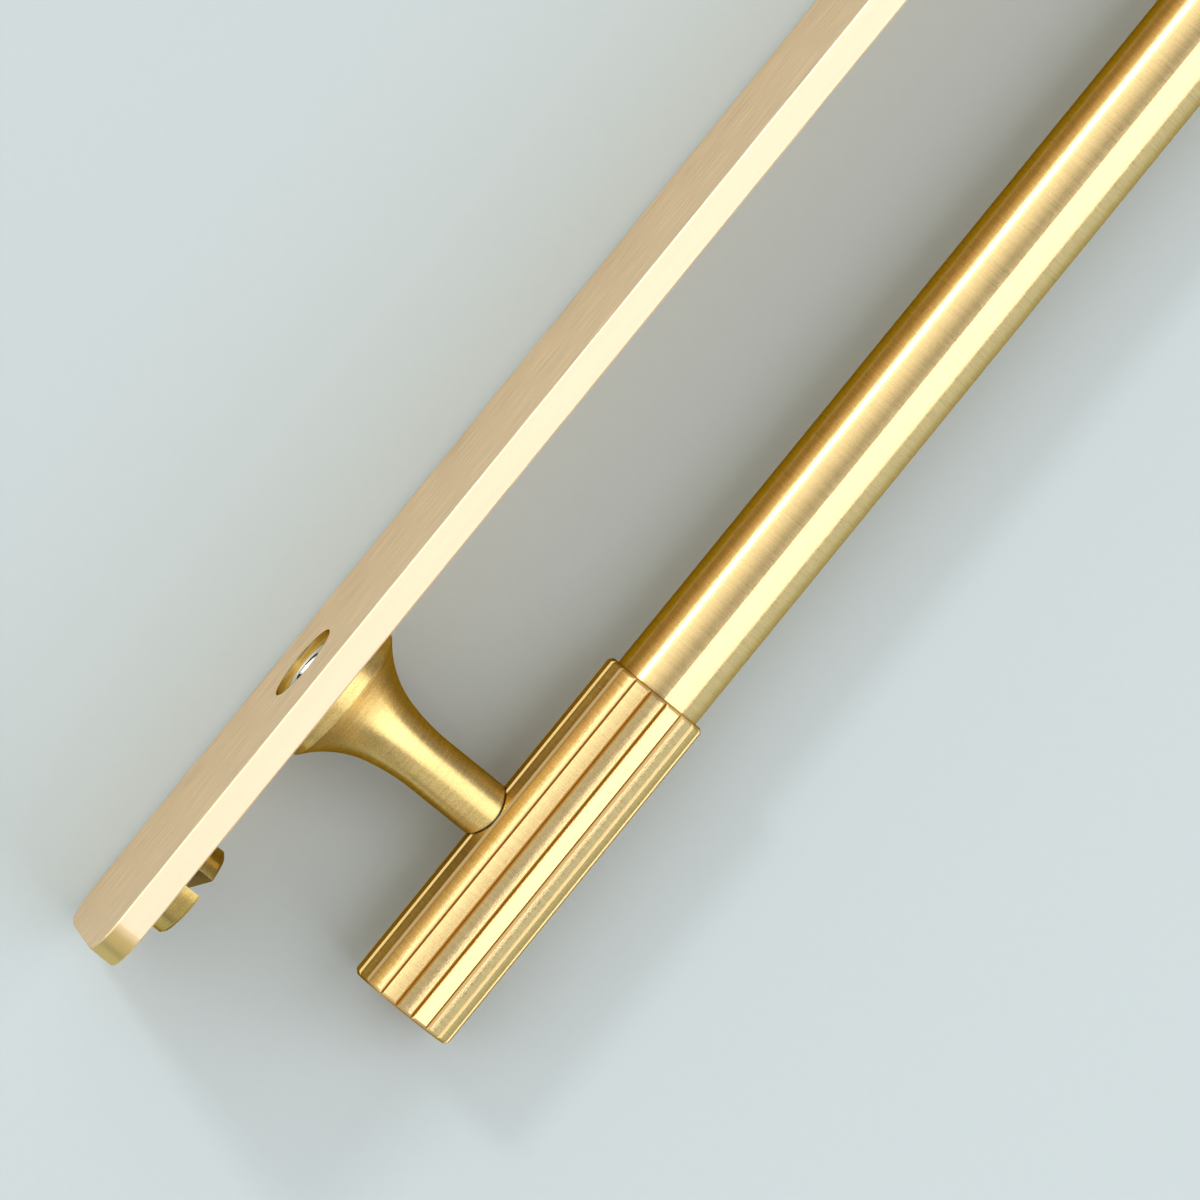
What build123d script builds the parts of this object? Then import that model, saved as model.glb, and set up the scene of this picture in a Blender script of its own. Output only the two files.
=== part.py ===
"""Cabinet bar pull: a smooth rod in two fluted sleeves, on flared posts over a long backplate.

Millimetres. The back face of the backplate lies on y = 0 and the pull stands out towards -Y.
X runs along the bar and Z is up. The origin is the middle of the backplate's back face.
"""
import os

from build123d import *

# Backplate
hole_spacing = 160.0
plate_overhang = 35.3
plate_width = 25.0
plate_thickness = 3.0
plate_corner_radius = 4.0
plate_edge_chamfer = 0.15

# Bar: rod and fluted sleeves
bar_standoff = 30.0
rod_diameter = 10.0
sleeve_wall = 0.95
sleeve_outer_reach = 20.9
sleeve_inner_reach = 20.0
sleeve_end_wall = 4.0
sleeve_end_chamfer = 0.4
flute_count = 18
flute_width = 0.6
flute_depth = 0.3
flute_phase = 3.6

# Posts: spigot in the plate, foot on it, flare and neck up to the sleeve
foot_diameter = 15.4
foot_height = 2.4
foot_edge_chamfer = 0.2
flare_height = 11.3
flare_waist = 5.95
flare_swell = 0.64
neck_wall = 1.0
spigot_diameter = 8.3
spigot_setback = 0.6

# Tapped hole for the mounting bolt, and the metal left between it and the stud
tapped_diameter = 3.3
tapped_depth = 10.0
post_web = 4.0

# Studs between post and rod, and the metal left in front of them in the rod
stud_diameter = 4.0
rod_cover = 4.0

# Slotted end screws, and the metal left under the slot and behind the shank
end_screw_inset = 10.4
screw_head_diameter = 10.3
screw_head_height = 3.2
screw_head_chamfer = 0.3
slot_width = 2.1
slot_floor = 0.9
slot_lean = 15.5
shank_diameter = 4.0
shank_cover = 0.8

# Clearances
fit_clearance = 0.05
end_clearance = 0.2

# Sizes that follow from the ones above
post_offset = hole_spacing / 2
plate_length = hole_spacing + 2 * plate_overhang
end_screw_offset = plate_length / 2 - end_screw_inset
rod_radius = rod_diameter / 2
bore_radius = rod_radius + fit_clearance
sleeve_length = sleeve_outer_reach + sleeve_inner_reach
sleeve_offset = post_offset + (sleeve_outer_reach - sleeve_inner_reach) / 2
bore_depth = sleeve_length - sleeve_end_wall
sleeve_radius = bore_radius + sleeve_wall
saddle_radius = sleeve_radius + fit_clearance
rod_length = 2 * (post_offset + sleeve_outer_reach - sleeve_end_wall - end_clearance)
spigot_hole_radius = spigot_diameter / 2 + fit_clearance
foot_top = plate_thickness + foot_height
flare_top = foot_top + flare_height
stud_hole_radius = stud_diameter / 2 + fit_clearance
neck_radius = stud_hole_radius + neck_wall
stud_hole_start = spigot_setback + tapped_depth + post_web
stud_hole_end = bar_standoff + rod_radius - rod_cover
shank_hole_radius = shank_diameter / 2 + fit_clearance
shank_hole_depth = plate_thickness - shank_cover

SIDES = ((-1, "left"), (1, "right"))


def front_plane(height):
    """Plane parallel to the back face, the given distance in front of it, facing forwards."""
    return Plane.XZ.offset(height)


def bar_section(x):
    """Plane across the bar at x, with its local angle running from up towards the front."""
    return Plane(origin=(x, -bar_standoff, 0), x_dir=(0, 0, 1), z_dir=(1, 0, 0))


def turning_plane(x):
    """Plane for a turned profile: local x is the radius, local y the height over the back face."""
    return Plane(origin=(x, 0, 0), x_dir=(1, 0, 0), z_dir=(0, 0, -1))


def write_piece(part, name):
    """Label one finished piece and write it."""
    part.label = name
    export_step(part, f"parts/{name}.step")


os.makedirs("parts", exist_ok=True)

# Backplate: rounded bar, through holes for the post spigots, blind holes for the end screws
with BuildPart() as backplate:
    with BuildSketch(front_plane(0)):
        RectangleRounded(plate_length, plate_width, plate_corner_radius)
    extrude(amount=plate_thickness)
    edges_by_depth = backplate.edges().group_by(Axis.Y)
    chamfer(edges_by_depth[0] + edges_by_depth[-1], plate_edge_chamfer)
    with BuildSketch(front_plane(0)):
        with Locations((-post_offset, 0), (post_offset, 0)):
            Circle(spigot_hole_radius)
    extrude(amount=plate_thickness, mode=Mode.SUBTRACT)
    with BuildSketch(front_plane(plate_thickness)):
        with Locations((-end_screw_offset, 0), (end_screw_offset, 0)):
            Circle(shank_hole_radius)
    extrude(amount=-shank_hole_depth, mode=Mode.SUBTRACT)
write_piece(backplate.part, "backplate")

# Grip rod: plain round bar with a blind stud hole at each post
with BuildPart() as grip_rod:
    with BuildSketch(bar_section(0)):
        Circle(rod_radius)
    extrude(amount=rod_length / 2, both=True)
    with BuildSketch(front_plane(bar_standoff - rod_radius)):
        with Locations((-post_offset, 0), (post_offset, 0)):
            Circle(stud_hole_radius)
    extrude(amount=rod_diameter - rod_cover, mode=Mode.SUBTRACT)
write_piece(grip_rod.part, "grip_rod")

for side, hand in SIDES:
    post_x = side * post_offset
    sleeve_x = side * sleeve_offset
    screw_x = side * end_screw_offset

    # Fluted sleeve: grooved bar, chamfered at both ends, bored blind from its inner end
    with BuildPart() as sleeve:
        with BuildSketch(bar_section(sleeve_x)):
            Circle(sleeve_radius)
            with PolarLocations(sleeve_radius, flute_count, start_angle=flute_phase):
                Polygon(
                    (-flute_depth, 0),
                    (0, -flute_width / 2),
                    (flute_depth, -flute_width / 2),
                    (flute_depth, flute_width / 2),
                    (0, flute_width / 2),
                    align=None,
                    mode=Mode.SUBTRACT,
                )
        extrude(amount=sleeve_length / 2, both=True)
        with BuildSketch(Plane.XY) as half_profile:
            with Locations((sleeve_x, -bar_standoff)):
                Rectangle(sleeve_length, sleeve_radius, align=(Align.CENTER, Align.MIN))
            outer_corners = half_profile.vertices().group_by(Axis.Y)[-1]
            chamfer(outer_corners, sleeve_end_chamfer)
        revolve(axis=Axis((sleeve_x, -bar_standoff, 0), (1, 0, 0)), mode=Mode.INTERSECT)
        with BuildSketch(bar_section(sleeve_x - side * sleeve_end_wall / 2)):
            Circle(bore_radius)
        extrude(amount=bore_depth / 2, both=True, mode=Mode.SUBTRACT)
        with BuildSketch(front_plane(bar_standoff - sleeve_radius)):
            with Locations((post_x, 0)):
                Circle(stud_hole_radius)
        extrude(amount=sleeve_radius, mode=Mode.SUBTRACT)
    write_piece(sleeve.part, f"sleeve_{hand}")

    # Post: turned spigot, foot, flare and neck, saddle cut to the sleeve, holes from both ends
    with BuildPart() as post:
        with BuildSketch(turning_plane(post_x)):
            with BuildLine():
                Polyline(
                    (neck_radius, flare_top),
                    (neck_radius, bar_standoff),
                    (0, bar_standoff),
                    (0, spigot_setback),
                    (spigot_diameter / 2, spigot_setback),
                    (spigot_diameter / 2, plate_thickness),
                    (foot_diameter / 2, plate_thickness),
                    (foot_diameter / 2, foot_top - foot_edge_chamfer),
                    (foot_diameter / 2 - foot_edge_chamfer, foot_top),
                )
                upper_arc = TangentArc(
                    (neck_radius, flare_top),
                    (neck_radius + flare_swell, foot_top + flare_waist),
                    tangent=(0, -1),
                )
                TangentArc(
                    upper_arc @ 1,
                    (foot_diameter / 2 - foot_edge_chamfer, foot_top),
                    tangent=upper_arc % 1,
                )
            make_face()
        revolve(axis=Axis((post_x, 0, 0), (0, -1, 0)))
        with BuildSketch(bar_section(post_x)):
            Circle(saddle_radius)
        extrude(amount=foot_diameter, both=True, mode=Mode.SUBTRACT)
        with BuildSketch(front_plane(stud_hole_start)):
            with Locations((post_x, 0)):
                Circle(stud_hole_radius)
        extrude(amount=bar_standoff - stud_hole_start, mode=Mode.SUBTRACT)
        with BuildSketch(front_plane(spigot_setback)):
            with Locations((post_x, 0)):
                Circle(tapped_diameter / 2)
        extrude(amount=tapped_depth, mode=Mode.SUBTRACT)
    write_piece(post.part, f"post_{hand}")

    # Stud: from the post's neck through the sleeve's wall into the rod
    with BuildPart() as stud:
        with BuildSketch(front_plane(stud_hole_start + end_clearance)):
            with Locations((post_x, 0)):
                Circle(stud_diameter / 2)
        extrude(amount=stud_hole_end - stud_hole_start - 2 * end_clearance)
    write_piece(stud.part, f"stud_{hand}")

    # End screw: slotted head on the plate's front, short shank in the blind hole
    with BuildPart() as end_screw:
        with BuildSketch(front_plane(plate_thickness)):
            with Locations((screw_x, 0)):
                Circle(screw_head_diameter / 2)
        extrude(amount=screw_head_height)
        head_rim = end_screw.edges().sort_by(Axis.Y)[0]
        chamfer(head_rim, screw_head_chamfer)
        with BuildSketch(front_plane(plate_thickness + slot_floor)):
            with Locations((screw_x, 0)):
                Rectangle(slot_width, 2 * screw_head_diameter, rotation=side * slot_lean)
        extrude(amount=screw_head_height - slot_floor, mode=Mode.SUBTRACT)
        with BuildSketch(front_plane(plate_thickness)):
            with Locations((screw_x, 0)):
                Circle(shank_diameter / 2)
        extrude(amount=end_clearance - shank_hole_depth)
    write_piece(end_screw.part, f"end_screw_{hand}")
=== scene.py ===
"""Brushed brass bar pull lying on its side on a pale floor, under soft studio light."""

import math

import bpy
from mathutils import Matrix, Vector


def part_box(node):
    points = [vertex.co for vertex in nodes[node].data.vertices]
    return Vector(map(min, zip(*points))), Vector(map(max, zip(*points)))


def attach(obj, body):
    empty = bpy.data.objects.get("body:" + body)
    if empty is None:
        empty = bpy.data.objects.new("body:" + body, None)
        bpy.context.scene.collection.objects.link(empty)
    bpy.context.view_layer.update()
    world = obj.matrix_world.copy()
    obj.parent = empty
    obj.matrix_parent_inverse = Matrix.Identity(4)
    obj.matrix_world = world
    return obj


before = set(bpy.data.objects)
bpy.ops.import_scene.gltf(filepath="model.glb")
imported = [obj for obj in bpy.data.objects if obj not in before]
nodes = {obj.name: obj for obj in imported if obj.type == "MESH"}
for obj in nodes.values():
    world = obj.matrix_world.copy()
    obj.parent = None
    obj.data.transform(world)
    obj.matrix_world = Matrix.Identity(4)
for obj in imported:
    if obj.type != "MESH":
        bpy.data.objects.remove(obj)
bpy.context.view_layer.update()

# Places on the pull in metres, from the frame: plate, bar, and the posts and end screws along them
plate_low, plate_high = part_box("backplate")
sleeve_low, sleeve_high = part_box("sleeve_right")
post_low, post_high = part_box("post_right")
screw_low, screw_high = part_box("end_screw_right")
PLATE_END = plate_high.x
PLATE_MIDDLE = (plate_low.y + plate_high.y) / 2
PLATE_HALF = (plate_high.y - plate_low.y) / 2
BAR_Y = (sleeve_low.y + sleeve_high.y) / 2
SLEEVE_R = (sleeve_high.y - sleeve_low.y) / 2
POST_X = (post_low.x + post_high.x) / 2
SPIGOT_Y = post_high.y
SCREW_X = (screw_low.x + screw_high.x) / 2

# Sizes in metres that no box in the frame gives, and the lean of the end screws' slots, as modelled
PLATE_CHAMFER = 0.00015
HOLE_R = 0.0042
TAPPED_R = 0.00165
TAPPED_DEPTH = 0.010
SLOT_HALF = 0.00105
SLOT_LEAN = math.radians(15.5)

# Outer radius of the bare ring round each tapped hole
BARE_R = 0.0027

# Soft edges of the masks: where each starts and ends, in metres past the size that it belongs to
LAND_EDGE = (-40e-6, -10e-6)
GROOVE_WALL_EDGE = (-250e-6, -200e-6)
BARE_EDGE = (0.0, 30e-6)
BORE_EDGE = (20e-6, 80e-6)
CUT_EDGE = (10e-6, 40e-6)
FACE_EDGE = (-150e-6, -50e-6)
FRONT_EDGE = (20e-6, 100e-6)
ROUND_END_EDGE = (-4.6e-3, -2.8e-3)
SEAM_EDGE = (100e-6, 220e-6)

# Colours of the metals, with an alpha where they are blended
BAR_BRASS = (0.855, 0.65, 0.315)
GROOVE_WALL = (0.82, 0.60, 0.28, 1.0)
# Dark brown at the groove bottoms: painted shade in the creases
PAINTED_GROOVE_SHADE = (0.55, 0.32, 0.08, 1.0)
POST_BRASS = (0.82, 0.625, 0.25, 1.0)
# Near-black line on the posts along the sleeves: a painted shadow in the seam
PAINTED_SEAM_SHADOW = (0.10, 0.07, 0.03, 1.0)
BARE_RING = (0.80, 0.80, 0.80, 1.0)
# Near-black on the walls of the tapped bores: painted shade in the holes
PAINTED_BORE_SHADE = (0.10, 0.09, 0.08, 1.0)
# The end screws' brass, darker than the posts' as painted shade
SCREW_SHADED_BRASS = (0.60, 0.45, 0.15)
SLOT_WALL = (0.57, 0.53, 0.48, 1.0)
# Pale plate brass: a painted highlight and sheen on the plate's faces and long walls
PLATE_HIGHLIGHT_BRASS = (0.82, 0.64, 0.44, 1.0)
# Deeper brass on the walls that round the plate's ends: painted shade
PLATE_ROUND_END_SHADE = (0.74, 0.57, 0.23, 1.0)
PLATE_FRONT = (0.85, 0.68, 0.40, 1.0)
# Darker brass in the plate's large holes: painted shade
HOLE_WALL_SHADE = (0.62, 0.48, 0.20, 1.0)
STUD_STEEL = (0.80, 0.80, 0.80)

# Tints of the metals at a glancing angle
BRASS_EDGE = (0.80, 0.66, 0.34, 1.0)
PLATE_EDGE = (1.0, 0.85, 0.66, 1.0)
STEEL_EDGE = (0.80, 0.80, 0.80, 1.0)

# Streaks per metre along each axis, fine across the brushing and long along it
AROUND_BAR = (5000, 260, 260)
AROUND_STAND = (260, 5000, 260)
AROUND_STUD = (200, 6000, 200)
ALONG_PLATE = (160, 5000, 5000)

# The plate's brushing direction, slanted a little so that no wall of the plate is square to it
BRUSHING = (1, 0.05, 0.02)

# Turns of the drawn-out gloss away from the direction that a piece gives
NO_TURN = 0.0
QUARTER_TURN = 0.25

# The range in which most of a noise's values lie
NOISE_LOW = 0.3
NOISE_HIGH = 0.7

# What all brushed metals share: scales per metre of flecks and smudges, the scale of broad streaks as a
# share of the fine ones, and how far broad streaks, smudges and fine streaks move the tone and the gloss
FLECK_SCALE = (5600, 5600, 5600)
SMUDGE_SCALE = (60, 60, 60)
BROAD_SHARE = 0.22
BROAD_TONE = 0.015
SMUDGE_TONE = 0.01
STREAK_GLOSS = 0.03
SMUDGE_GLOSS = (-0.005, 0.01)


def add(tree, kind, inputs=None, **settings):
    """Add a node, set its settings, and set or link its inputs."""
    made = tree.nodes.new(kind)
    for name, value in settings.items():
        setattr(made, name, value)
    for name, value in (inputs or {}).items():
        if isinstance(value, bpy.types.NodeSocket):
            tree.links.new(value, made.inputs[name])
        else:
            made.inputs[name].default_value = value
    return made


def math_node(tree, operation, a, b=0.0):
    """Add a math node on one or two numbers and return its result."""
    return add(tree, "ShaderNodeMath", {0: a, 1: b}, operation=operation).outputs[0]


def vector_node(tree, operation, a, b):
    """Add a vector node on two vectors and return its result."""
    return add(tree, "ShaderNodeVectorMath", {0: a, 1: b}, operation=operation).outputs[0]


def tinted(tree, colour, gain):
    """A colour made lighter or darker by a number."""
    made = add(tree, "ShaderNodeVectorMath", {0: colour, "Scale": gain}, operation="SCALE")
    return made.outputs[0]


def blend(tree, amount, low, high):
    """One colour where the amount is nothing, another where it is one."""
    return add(tree, "ShaderNodeMix", {0: amount, 6: low, 7: high}, data_type="RGBA").outputs[2]


def split(tree, vector):
    """The X, Y and Z of a vector."""
    return add(tree, "ShaderNodeSeparateXYZ", {0: vector}).outputs


def mapped(tree, value, low, high, to_low, to_high):
    """Map a number from one range to another, held at the ends."""
    made = add(tree, "ShaderNodeMapRange", {0: value, 1: low, 2: high, 3: to_low, 4: to_high})
    return made.outputs[0]


def mask(tree, value, size, edge):
    """Nothing below a size and one above it, with a soft edge."""
    return mapped(tree, value, size + edge[0], size + edge[1], 0.0, 1.0)


def noise(tree, place, scale, detail=2.0, rough=0.5):
    """Noise with a scale of its own along each axis, per metre."""
    stretched = vector_node(tree, "MULTIPLY", place, scale)
    made = add(
        tree,
        "ShaderNodeTexNoise",
        {"Vector": stretched, "Scale": 1.0, "Detail": detail, "Roughness": rough},
    )
    return made.outputs["Fac"]


def varied(tree, pattern, low, high):
    """A number that a noise moves between two values."""
    return mapped(tree, pattern, NOISE_LOW, NOISE_HIGH, low, high)


def toned(tree, pattern, swing):
    """A gain that a noise moves so far below and above one."""
    return varied(tree, pattern, 1.0 - swing, 1.0 + swing)


def new_material(name):
    """A new material with nothing but an output."""
    material = bpy.data.materials.new(name)
    material.use_nodes = True
    tree = material.node_tree
    tree.nodes.clear()
    output = add(tree, "ShaderNodeOutputMaterial")
    return material, tree, output


def own_place(tree):
    """Place of the shaded point in its object's frame, which on the pull is the CAD frame."""
    return add(tree, "ShaderNodeTexCoord").outputs["Object"]


def lengthwise(tree, place):
    """Direction across the brushing that runs along the plate, from the normal alone."""
    normal = add(tree, "ShaderNodeNewGeometry").outputs["Normal"]
    return vector_node(tree, "CROSS_PRODUCT", normal, BRUSHING)


def round_bar(tree, place):
    """Direction of turning round the bar's own axis."""
    at = split(tree, place)
    out = math_node(tree, "SUBTRACT", at["Y"], BAR_Y)
    back = math_node(tree, "MULTIPLY", at["Z"], -1.0)
    return add(tree, "ShaderNodeCombineXYZ", {"Y": back, "Z": out}).outputs[0]


def round_stand(offset):
    """Direction of turning round the two axes that stand on the plate at that offset."""

    def direction(tree, place):
        at = split(tree, place)
        side = math_node(tree, "SIGN", at["X"])
        centre = math_node(tree, "MULTIPLY", side, offset)
        out = math_node(tree, "SUBTRACT", at["X"], centre)
        back = math_node(tree, "MULTIPLY", at["Z"], -1.0)
        return add(tree, "ShaderNodeCombineXYZ", {"X": back, "Z": out}).outputs[0]

    return direction


def radius(tree, across, along):
    """Distance from an axis, from the two coordinates across it."""
    squares = [math_node(tree, "POWER", side, 2.0) for side in (across, along)]
    return math_node(tree, "SQRT", math_node(tree, "ADD", *squares))


def from_bar(tree, place):
    """Distance from the bar's axis."""
    at = split(tree, place)
    return radius(tree, math_node(tree, "SUBTRACT", at["Y"], BAR_Y), at["Z"])


def past_stand(tree, at, offset):
    """How far along the plate a place is past the nearer of the two axes at that offset."""
    return math_node(tree, "SUBTRACT", math_node(tree, "ABSOLUTE", at["X"]), offset)


def from_stand(tree, place, offset):
    """Distance from the nearer of the two axes that stand on the plate at that offset."""
    at = split(tree, place)
    return radius(tree, past_stand(tree, at, offset), at["Z"])


def cut_grooves(tree, place):
    """Mask of a sleeve's brushed lands, and the plain cut of its grooves, darker and browner along the
    bottom as painted shade.
    """
    from_axis = from_bar(tree, place)
    lands = mask(tree, from_axis, SLEEVE_R, LAND_EDGE)
    walls = mask(tree, from_axis, SLEEVE_R, GROOVE_WALL_EDGE)
    return lands, blend(tree, walls, PAINTED_GROOVE_SHADE, GROOVE_WALL)


def bare_bores(tree, place):
    """Mask of a post's plated outside, and the bare metal round its bores, with painted shade on the
    bore walls.
    """
    from_axis = from_stand(tree, place, POST_X)
    outside = mask(tree, from_axis, BARE_R, BARE_EDGE)
    ring = mask(tree, from_axis, TAPPED_R, BORE_EDGE)
    return outside, blend(tree, ring, PAINTED_BORE_SHADE, BARE_RING)


def bored_holes(tree, place):
    """Mask of the plate's brushed outside, and the turned walls of its two large holes, darkened as
    painted shade.
    """
    return mask(tree, from_stand(tree, place, POST_X), HOLE_R, CUT_EDGE), HOLE_WALL_SHADE


def cut_slots(tree, place):
    """Mask of an end screw's turned outside, and the bare grey-brown cut of its slot."""
    at = split(tree, place)
    across = math_node(tree, "MULTIPLY", past_stand(tree, at, SCREW_X), math.cos(SLOT_LEAN))
    along = math_node(tree, "MULTIPLY", at["Z"], math.sin(SLOT_LEAN))
    off_line = math_node(tree, "ABSOLUTE", math_node(tree, "ADD", across, along))
    return mask(tree, off_line, SLOT_HALF, CUT_EDGE), SLOT_WALL


def plate_faces(tree, place):
    """Mask of the plate's two broad faces, nothing on the walls between them."""
    at = split(tree, place)
    from_middle = math_node(tree, "ABSOLUTE", math_node(tree, "SUBTRACT", at["Y"], PLATE_MIDDLE))
    return mask(tree, from_middle, PLATE_HALF, FACE_EDGE)


def plate_tones(tree, place):
    """The plate's brass in lit and shaded tones: painted pale as a highlight and sheen on its faces and
    long walls, deeper as painted shade on the walls that round its ends, and deeper on its front.
    """
    at = split(tree, place)
    ends = mask(tree, math_node(tree, "ABSOLUTE", at["X"]), PLATE_END, ROUND_END_EDGE)
    walls = math_node(tree, "SUBTRACT", 1.0, plate_faces(tree, place))
    round_ends = math_node(tree, "MULTIPLY", ends, walls)
    shade = blend(tree, round_ends, PLATE_HIGHLIGHT_BRASS, PLATE_ROUND_END_SHADE)
    behind_front = mask(tree, at["Y"], plate_low.y, FRONT_EDGE)
    return blend(tree, behind_front, PLATE_FRONT, shade)


def with_seam_shadow(tree, place):
    """The posts' brass, with a painted shadow line in the seam where they meet the sleeves."""
    clear = mask(tree, from_bar(tree, place), SLEEVE_R, SEAM_EDGE)
    return blend(tree, clear, PAINTED_SEAM_SHADOW, POST_BRASS)


def brushed(
    name,
    colour,
    tint,
    rough,
    spread,
    grain,
    fleck,
    direction,
    turn=QUARTER_TURN,
    cut=None,
    cut_rough=None,
    lines=0.045,
    lined=None,
    streak_relief=2.5e-6,
    fleck_relief=1.0e-6,
):
    """Brushed metal: streaks and flecks in its tone, gloss and relief, and gloss drawn out across them.

    The colour is a value or a function. Lines and fleck say how far streaks and flecks move the tone,
    and lined is a mask of where the streaks show in it. Where a cut has taken the brushing away, the
    metal takes the cut's colour, in places painted shade, and an even gloss. Both reliefs are in metres.
    """
    material, tree, output = new_material(name)
    place = own_place(tree)
    streaks = noise(tree, place, grain, detail=3.0, rough=0.6)
    broad = noise(tree, place, tuple(scale * BROAD_SHARE for scale in grain))
    flecks = noise(tree, place, FLECK_SCALE, detail=1.0)
    smudges = noise(tree, place, SMUDGE_SCALE, detail=3.0, rough=0.55)
    tone = toned(tree, streaks, lines)
    if lined:
        tone = mapped(tree, lined(tree, place), 0.0, 1.0, 1.0, tone)
    for pattern, swing in ((broad, BROAD_TONE), (flecks, fleck), (smudges, SMUDGE_TONE)):
        tone = math_node(tree, "MULTIPLY", tone, toned(tree, pattern, swing))
    gloss = varied(tree, streaks, rough - STREAK_GLOSS, rough + STREAK_GLOSS)
    gloss = math_node(tree, "ADD", gloss, varied(tree, smudges, *SMUDGE_GLOSS))
    shade = tinted(tree, colour(tree, place) if callable(colour) else colour, tone)
    if cut:
        outside, cut_colour = cut(tree, place)
        shade = blend(tree, outside, cut_colour, shade)
        gloss = mapped(tree, outside, 0.0, 1.0, cut_rough, gloss)
    height = math_node(tree, "MULTIPLY", streaks, streak_relief)
    height = math_node(tree, "ADD", height, math_node(tree, "MULTIPLY", flecks, fleck_relief))
    bump = add(tree, "ShaderNodeBump", {"Strength": 1.0, "Distance": 1.0, "Height": height})
    metal = add(
        tree,
        "ShaderNodeBsdfPrincipled",
        {
            "Base Color": shade,
            "Metallic": 1.0,
            "Roughness": gloss,
            "Anisotropic": spread,
            "Anisotropic Rotation": turn,
            "Tangent": direction(tree, place),
            "Normal": bump.outputs[0],
            "Specular Tint": tint,
        },
    )
    tree.links.new(metal.outputs[0], output.inputs["Surface"])
    return material


# The finishes
ROD = brushed(
    "rod_brass",
    colour=BAR_BRASS,
    tint=BRASS_EDGE,
    rough=0.30,
    spread=0.85,
    grain=AROUND_BAR,
    fleck=0.06,
    direction=round_bar,
    lines=0.09,
    streak_relief=0.7e-6,
    fleck_relief=9.0e-6,
)
SLEEVE = brushed(
    "sleeve_brass",
    colour=BAR_BRASS,
    tint=BRASS_EDGE,
    rough=0.30,
    spread=0.85,
    grain=AROUND_BAR,
    fleck=0.10,
    direction=round_bar,
    cut=cut_grooves,
    cut_rough=0.40,
    lines=0.09,
    streak_relief=1.0e-6,
    fleck_relief=9.0e-6,
)
POST = brushed(
    "post_brass",
    colour=with_seam_shadow,
    tint=BRASS_EDGE,
    rough=0.38,
    spread=0.70,
    grain=AROUND_STAND,
    fleck=0.14,
    direction=round_stand(POST_X),
    cut=bare_bores,
    cut_rough=0.55,
    lines=0.12,
    fleck_relief=7.0e-6,
)
SCREW = brushed(
    "screw_brass",
    colour=SCREW_SHADED_BRASS,
    tint=BRASS_EDGE,
    rough=0.36,
    spread=0.70,
    grain=AROUND_STAND,
    fleck=0.14,
    direction=round_stand(SCREW_X),
    cut=cut_slots,
    cut_rough=0.45,
    lines=0.12,
    fleck_relief=7.0e-6,
)
PLATE = brushed(
    "plate_brass",
    colour=plate_tones,
    tint=PLATE_EDGE,
    rough=0.41,
    spread=0.35,
    grain=ALONG_PLATE,
    fleck=0.02,
    direction=lengthwise,
    turn=NO_TURN,
    cut=bored_holes,
    cut_rough=0.16,
    lines=0.22,
    lined=plate_faces,
)
STEEL = brushed(
    "stud_steel",
    colour=STUD_STEEL,
    tint=STEEL_EDGE,
    rough=0.16,
    spread=0.50,
    grain=AROUND_STUD,
    fleck=0.03,
    direction=round_stand(POST_X),
)

# The finish of each piece
FINISH = {
    "backplate": PLATE,
    "grip_rod": ROD,
    "sleeve_left": SLEEVE,
    "sleeve_right": SLEEVE,
    "post_left": POST,
    "post_right": POST,
    "stud_left": STEEL,
    "stud_right": STEEL,
    "end_screw_left": SCREW,
    "end_screw_right": SCREW,
}
for name, material in FINISH.items():
    piece = nodes[name]
    piece.data.materials.clear()
    piece.data.materials.append(material)

# Thread in each tapped hole: a ridge with its foot let into the wall, which ends short of the hole's end
PITCH = 0.0007
RIDGE_HALF = 0.00028
RIDGE_HEIGHT = 0.00024
RIDGE_LET_IN = 0.00001
RIDGE_START = math.radians(225)
RUNOUT = 0.0008
STEPS_A_TURN = 40
RIDGE_STEPS = int((TAPPED_DEPTH - RUNOUT) / PITCH * STEPS_A_TURN)
RIDGE_PROFILE = (
    (TAPPED_R + RIDGE_LET_IN, RIDGE_HALF),
    (TAPPED_R - RIDGE_HEIGHT, 0.0),
    (TAPPED_R + RIDGE_LET_IN, -RIDGE_HALF),
)


def ridge(post_x):
    """Points and faces of a right-hand ridge that winds in from the bare end of a post's spigot."""
    points = []
    faces = []
    for step in range(RIDGE_STEPS + 1):
        angle = RIDGE_START + 2 * math.pi * step / STEPS_A_TURN
        depth = SPIGOT_Y - RIDGE_HALF - PITCH * step / STEPS_A_TURN
        for reach, shift in RIDGE_PROFILE:
            x = post_x + reach * math.cos(angle)
            z = reach * math.sin(angle)
            points.append((x, depth + shift, z))
    row = len(RIDGE_PROFILE)
    for step in range(RIDGE_STEPS):
        for flank in range(row - 1):
            first = row * step + flank
            faces.append((first, first + 1, first + row + 1, first + row))
    return points, faces


for hand, post_x in (("left", -POST_X), ("right", POST_X)):
    points, faces = ridge(post_x)
    mesh = bpy.data.meshes.new(f"thread_{hand}")
    mesh.from_pydata(points, [], faces)
    mesh.materials.append(STEEL)
    thread = bpy.data.objects.new(f"thread_{hand}", mesh)
    bpy.context.collection.objects.link(thread)
    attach(thread, "root")

# How the pull rests: on the plate's lower front edge, where its chamfer starts, and on both sleeves
edge_to_bar = plate_low.y + PLATE_CHAMFER - BAR_Y
REST_TILT = math.atan2(-plate_low.z, edge_to_bar) - math.asin(
    SLEEVE_R / math.hypot(edge_to_bar, plate_low.z)
)
REST_DEPTH = SLEEVE_R - BAR_Y * math.sin(REST_TILT)
floor_up = Vector((0, math.sin(REST_TILT), math.cos(REST_TILT)))


def laid_sheet(name, material, length, width, spot):
    """A flat sheet laid level with the floor, with its length along the bar."""
    bpy.ops.mesh.primitive_plane_add(size=1.0, location=spot, rotation=(-REST_TILT, 0, 0))
    made = bpy.context.object
    made.name = name
    made.data.transform(Matrix.Diagonal((length, width, 1.0, 1.0)))
    made.data.materials.append(material)
    return made


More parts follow.
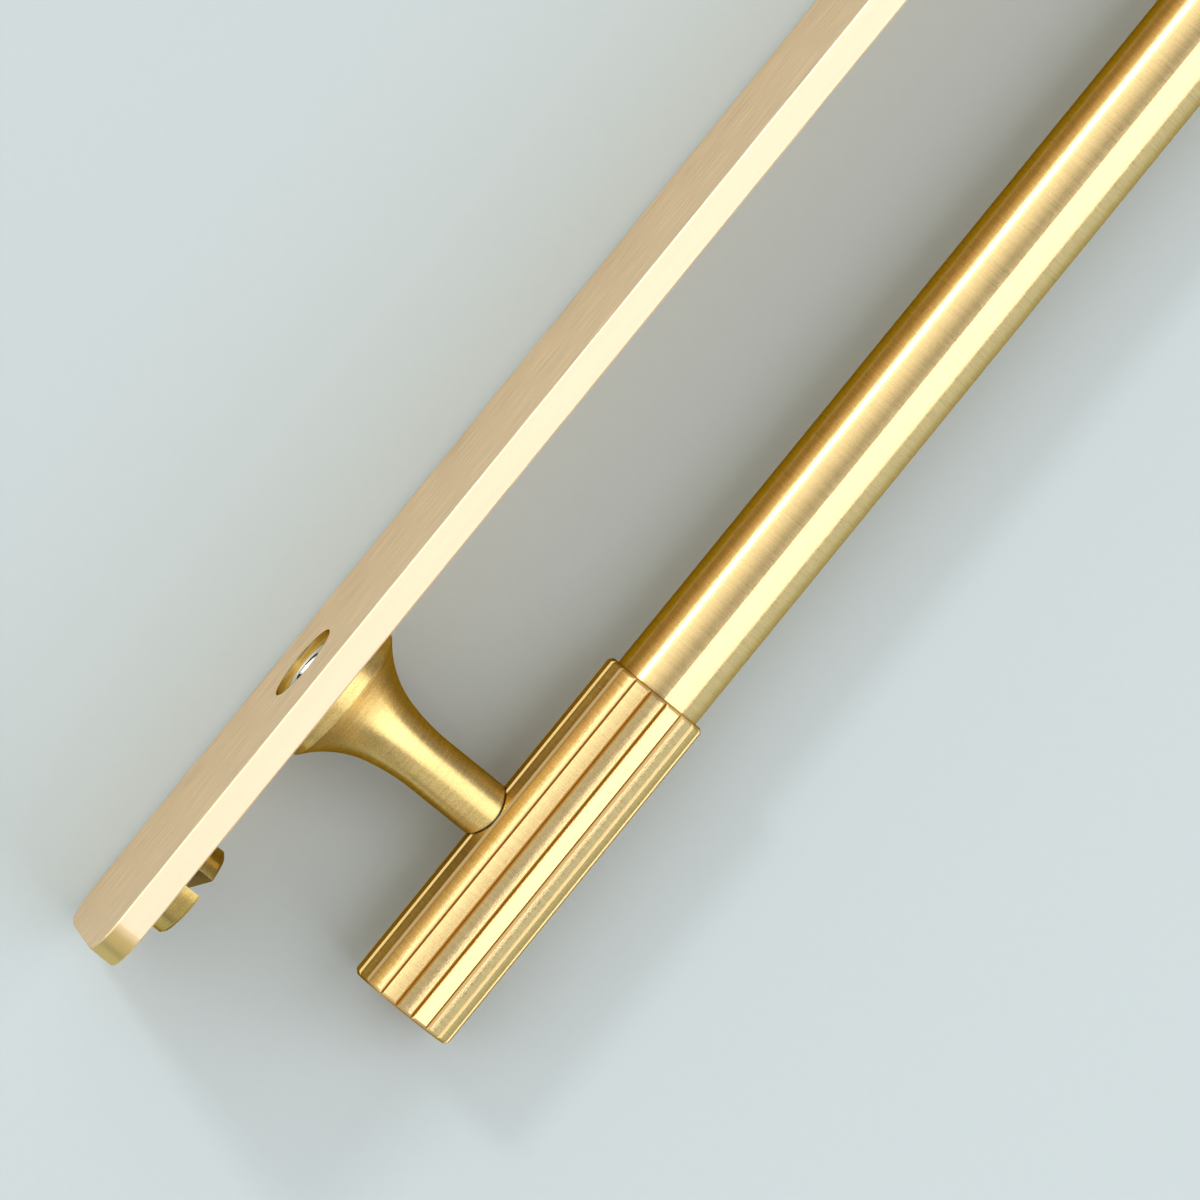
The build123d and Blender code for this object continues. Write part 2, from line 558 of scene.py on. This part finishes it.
# Floor: pale matt paper, seen through from below
FLOOR_SIZE = 12.0
FLOOR_COLOUR = (0.512, 0.580, 0.596)
FLOOR_GRAIN = (900, 900, 900)
FLOOR_TONE = 0.005
floor_material, tree, output = new_material("floor")
grain = noise(tree, own_place(tree), FLOOR_GRAIN)
paper = add(
    tree,
    "ShaderNodeBsdfPrincipled",
    {
        "Base Color": tinted(tree, FLOOR_COLOUR, toned(tree, grain, FLOOR_TONE)),
        "Roughness": 0.9,
        "Specular IOR Level": 0.2,
    },
)
under = add(tree, "ShaderNodeNewGeometry").outputs["Backfacing"]
clear = add(tree, "ShaderNodeBsdfTransparent")
one_sided = add(tree, "ShaderNodeMixShader", {0: under, 1: paper.outputs[0], 2: clear.outputs[0]})
tree.links.new(one_sided.outputs[0], output.inputs["Surface"])
floor = laid_sheet("floor", floor_material, FLOOR_SIZE, FLOOR_SIZE, floor_up * -REST_DEPTH)

# Brown card just over the floor between bar and plate, seen only as a reflection in the metal, where it
# paints a dark warm reflection of shade
CARD_LENGTH = 0.24
CARD_WIDTH = 0.019
CARD_Y = -0.0135
CARD_DROP = 0.0095
SHADE_CARD_COLOUR = (0.33, 0.26, 0.01, 1.0)
shade_card_material, tree, output = new_material("shade_card")
paper = add(tree, "ShaderNodeBsdfDiffuse", {"Color": SHADE_CARD_COLOUR})
tree.links.new(paper.outputs[0], output.inputs["Surface"])
card_spot = Vector((0, CARD_Y, 0)) - floor_up * CARD_DROP
shade_card = laid_sheet("shade_card", shade_card_material, CARD_LENGTH, CARD_WIDTH, card_spot)
shade_card.visible_camera = False
shade_card.visible_diffuse = False
shade_card.visible_shadow = False


def stand(name, data, spot, right, up, back):
    """Put a camera or a lamp at a spot, facing away from its back."""
    made = bpy.data.objects.new(name, data)
    bpy.context.collection.objects.link(made)
    made.matrix_world = Matrix.Translation(spot) @ Matrix((right, up, back)).transposed().to_4x4()
    return made


# Camera: long lens over the plate's long edge, turned so that the bar runs up to the right
VIEW_TILT = math.radians(10.392)
VIEW_ROLL = math.radians(50.827)
VIEW_DISTANCE = 1.2010
TARGET_ALONG = -0.056352
TARGET_OUT = 0.019134
LENS = 359.6
SENSOR = 36.0
CLIP_START = 0.01
CLIP_END = 50.0
along = Vector((1, 0, 0))
back = Vector((0, math.sin(VIEW_TILT), math.cos(VIEW_TILT)))
out = Vector((0, -math.cos(VIEW_TILT), math.sin(VIEW_TILT)))
right = along * math.cos(VIEW_ROLL) + out * math.sin(VIEW_ROLL)
up = along * math.sin(VIEW_ROLL) - out * math.cos(VIEW_ROLL)
target = along * TARGET_ALONG + out * TARGET_OUT
lens = bpy.data.cameras.new("camera")
lens.lens = LENS
lens.sensor_width = SENSOR
lens.clip_start = CLIP_START
lens.clip_end = CLIP_END
camera = stand("camera", lens, target + back * VIEW_DISTANCE, right, up, back)
bpy.context.scene.camera = camera


def lamp(name, tilt, swing, distance, width, height, power, colour):
    """Soft box round the target, tilted from straight up towards the front and swung along the bar."""
    data = bpy.data.lights.new(name, "AREA")
    data.shape = "RECTANGLE"
    data.size = width
    data.size_y = height
    data.energy = power
    data.color = colour
    tilt = math.radians(tilt)
    swing = math.radians(swing)
    away = Vector(
        (math.sin(swing), -math.sin(tilt) * math.cos(swing), math.cos(tilt) * math.cos(swing))
    )
    level = (along - away * away.x).normalized()
    made = stand(name, data, target + away * distance, level, away.cross(level), away)
    made.visible_camera = False


# Lamps: a large one over the front, a weaker one over the left end and a small one low behind the plate
lamp(
    "key",
    tilt=38.4,
    swing=15,
    distance=1.8,
    width=1.98,
    height=2.38,
    power=32.4,
    colour=(1.0, 0.985, 1.04),
)
lamp(
    "wash",
    tilt=14,
    swing=-44,
    distance=2.0,
    width=2.50,
    height=1.50,
    power=6.0,
    colour=(1.0, 1.0, 1.0),
)
lamp(
    "side",
    tilt=-65.5,
    swing=11.9,
    distance=1.6,
    width=0.22,
    height=0.19,
    power=5.5,
    colour=(0.94, 1.0, 1.0),
)

# World: warm light, dim in front, bright behind the plate and a little stronger overhead, and a plain
# grey backdrop for the camera
SKY_COLOUR = (1.0, 0.97, 0.92, 1.0)
SKY_FRONT = 0.15
SKY_BACK = 1.70
SKY_TOP = 0.13
SKY_TOP_START = 0.2
BACKDROP_COLOUR = (0.40, 0.425, 0.42, 1.0)
world = bpy.data.worlds.new("studio")
world.use_nodes = True
tree = world.node_tree
tree.nodes.clear()
towards = split(tree, add(tree, "ShaderNodeTexCoord").outputs["Generated"])
level = mapped(tree, towards["Y"], 0.0, 1.0, SKY_FRONT, SKY_BACK)
overhead = mapped(tree, towards["Z"], SKY_TOP_START, 1.0, 0.0, SKY_TOP)
level = math_node(tree, "ADD", level, overhead)
sky = add(tree, "ShaderNodeBackground", {"Color": SKY_COLOUR, "Strength": level})
backdrop = add(tree, "ShaderNodeBackground", {"Color": BACKDROP_COLOUR, "Strength": 1.0})
seen = add(tree, "ShaderNodeLightPath").outputs["Is Camera Ray"]
studio = add(tree, "ShaderNodeMixShader", {0: seen, 1: sky.outputs[0], 2: backdrop.outputs[0]})
add(tree, "ShaderNodeOutputWorld", {"Surface": studio.outputs[0]})
bpy.context.scene.world = world
bpy.context.scene.view_settings.view_transform = "Standard"
